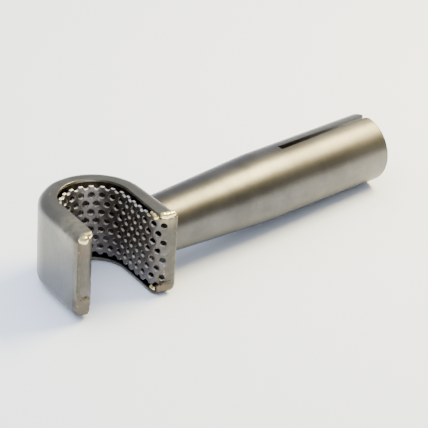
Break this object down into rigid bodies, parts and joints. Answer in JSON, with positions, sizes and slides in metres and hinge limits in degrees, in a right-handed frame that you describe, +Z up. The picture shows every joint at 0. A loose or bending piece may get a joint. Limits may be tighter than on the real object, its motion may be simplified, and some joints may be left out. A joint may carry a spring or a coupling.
{
  "type": "hooked sieve reflector nozzle",
  "caption": "Hooked reflector nozzle for a hot-air tool: slit push-fit socket, tapered stem and a U-shaped sheet shell lined with a perforated sieve.",
  "frame": {"origin": "centre of the socket's mouth, on the tube's axis", "axes": "+X points out of the socket's mouth along the tube, +Z is up, and the hook opens towards -Y"},
  "size_m": [0.1352, 0.0408, 0.0294],
  "materials": {
    "tube_steel": "satin bead-blasted stainless steel",
    "shell_steel": "satin bead-blasted stainless steel",
    "sieve_steel": "perforated stainless sheet, dull",
    "weld_metal": "bright weld beads with heat tint"
  },
  "bodies": {
    "root": {"stem_tube": "tube_steel", "reflector_shell": "shell_steel", "sieve_plate": "sieve_steel", "stem_weld": "weld_metal", "stem_corner_weld": "weld_metal", "free_corner_weld": "weld_metal", "sieve_edge_weld": "weld_metal", "stem_seam_weld": "weld_metal", "free_seam_weld": "weld_metal"}
  },
  "joints": []
}
